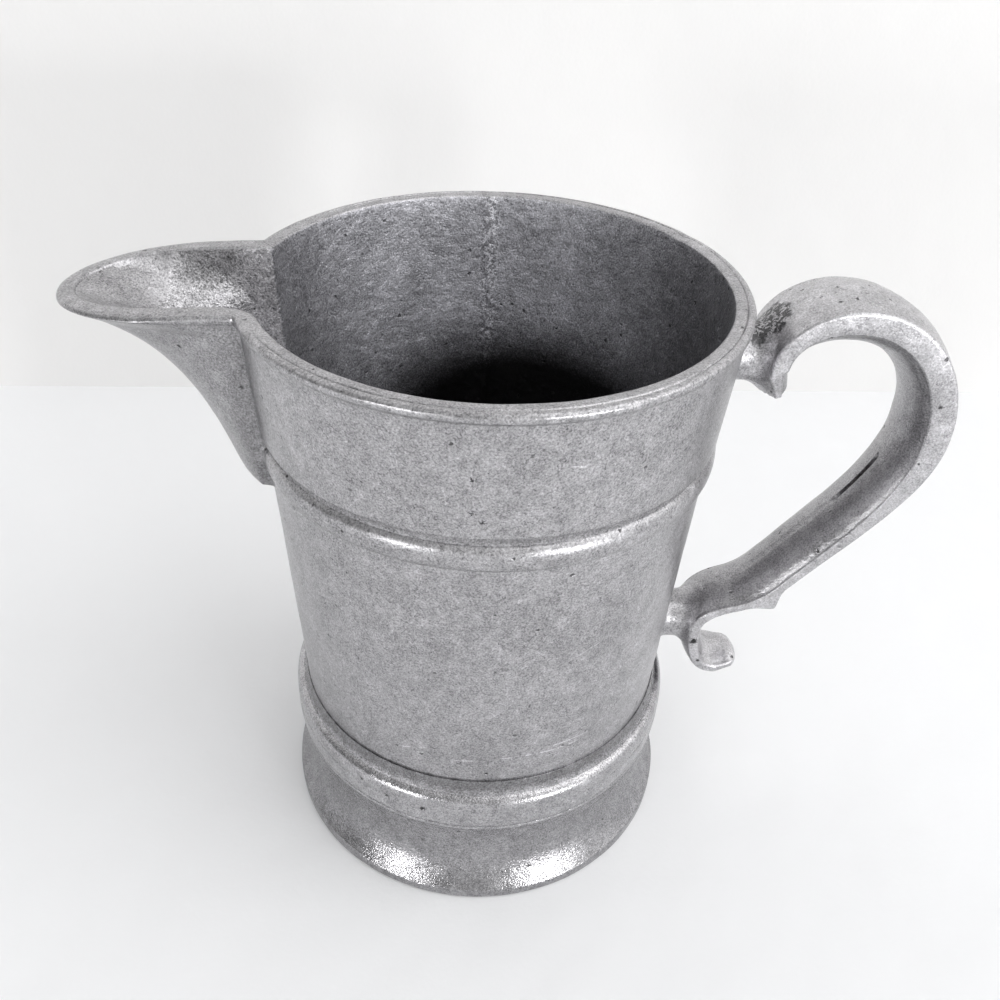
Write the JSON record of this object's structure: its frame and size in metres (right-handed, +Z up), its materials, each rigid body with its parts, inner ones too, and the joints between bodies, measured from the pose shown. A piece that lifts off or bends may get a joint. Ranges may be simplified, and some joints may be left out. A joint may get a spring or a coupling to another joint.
{
  "type": "cream jug",
  "caption": "Small cast-metal cream jug: tapered drum on a moulded foot, with a beak pouring spout, a raised band and a scroll handle with a curled lower end.",
  "frame": {"origin": "on the table plane, under the middle of the whole jug's box, so the drum's axis is 6.7 mm to its -X side", "axes": "+X from the spout to the handle, +Y to the far side of the picture, +Z up out of the mouth"},
  "size_m": [0.1448, 0.08, 0.1086],
  "materials": {
    "drum": "satin tumbled casting",
    "spout": "satin tumbled casting, rough inside",
    "handle": "satin casting with small pits",
    "upper_handle_stub": "rough fettled casting",
    "lower_handle_stub": "satin casting",
    "foot_ring": "brighter, smoother casting",
    "base_disc": "dull as-cast floor"
  },
  "bodies": {
    "root": {"drum": "drum", "spout": "spout", "handle": "handle", "upper_handle_stub": "upper_handle_stub", "lower_handle_stub": "lower_handle_stub", "foot_ring": "foot_ring", "base_disc": "base_disc"}
  },
  "joints": []
}
